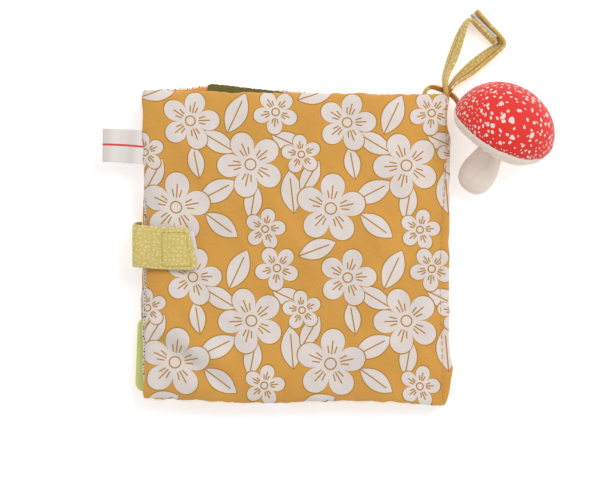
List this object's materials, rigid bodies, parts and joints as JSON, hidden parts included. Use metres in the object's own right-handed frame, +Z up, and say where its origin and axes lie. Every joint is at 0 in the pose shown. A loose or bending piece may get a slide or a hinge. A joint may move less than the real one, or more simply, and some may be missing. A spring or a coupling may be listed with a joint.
{
  "type": "soft book",
  "caption": "Square padded cloth book for babies with a closing strap, a ribbon tag, a hang loop and a stuffed mushroom on a tape; both covers turn at the sewn spine.",
  "frame": {"origin": "on the flat underside of the front cover, midway between the back cover's fore-edge and the spine edge, and midway between its top and bottom edges", "axes": "+Z up from the front cover to the back cover, +X from the fore-edge to the spine, +Y to the top edge"},
  "size_m": [0.2665, 0.2321, 0.0526],
  "materials": {
    "cover_cloth": "printed cotton, matt",
    "page_cloth": "plain cotton, matt",
    "ochre_thread": "sewing thread",
    "strap_cloth": "dotted cotton, matt",
    "hook_tape": "hook and loop tape",
    "satin_ribbon": "satin weave with a soft shine",
    "hang_tape": "dotted cotton tape, matt",
    "red_cloth": "spotted jersey, matt",
    "cream_cloth": "plain jersey, matt",
    "ochre_tape": "woven tape, matt",
    "olive_felt": "felt with a fuzzy edge",
    "lime_cloth": "smooth cloth, matt"
  },
  "bodies": {
    "page_block": {"pages": "page_cloth", "spine": "cover_cloth", "spine_stitches": "ochre_thread", "hang_strap_left": "hang_tape", "hang_strap_right": "hang_tape", "hang_hook_patch": "hook_tape", "hang_loop_patch": "hook_tape", "mushroom_cap": "red_cloth", "mushroom_underside": "cream_cloth", "mushroom_stem": "cream_cloth", "mushroom_tape": "ochre_tape", "felt_leaf": "olive_felt", "green_tab": "lime_cloth"},
    "back_cover": {"back_cover": "cover_cloth", "strap_loop_patch": "hook_tape", "ribbon_tag": "satin_ribbon"},
    "front_cover": {"front_cover": "cover_cloth", "closing_strap": "strap_cloth", "strap_hook_patch": "hook_tape"}
  },
  "joints": [
    {"name": "back_cover_hinge", "type": "hinge", "parent": "page_block", "child": "back_cover", "pos_m": [0.08305, 0, 0.0136], "axis": [0, 1, 0], "range_deg": [0, 95], "deforming": ["closing_strap", "strap_hook_patch"]},
    {"name": "front_cover_hinge", "type": "hinge", "parent": "page_block", "child": "front_cover", "pos_m": [0.08305, 0, 0.0014], "axis": [0, -1, 0], "range_deg": [0, 180], "deforming": ["mushroom_cap", "mushroom_underside", "mushroom_stem"]}
  ]
}
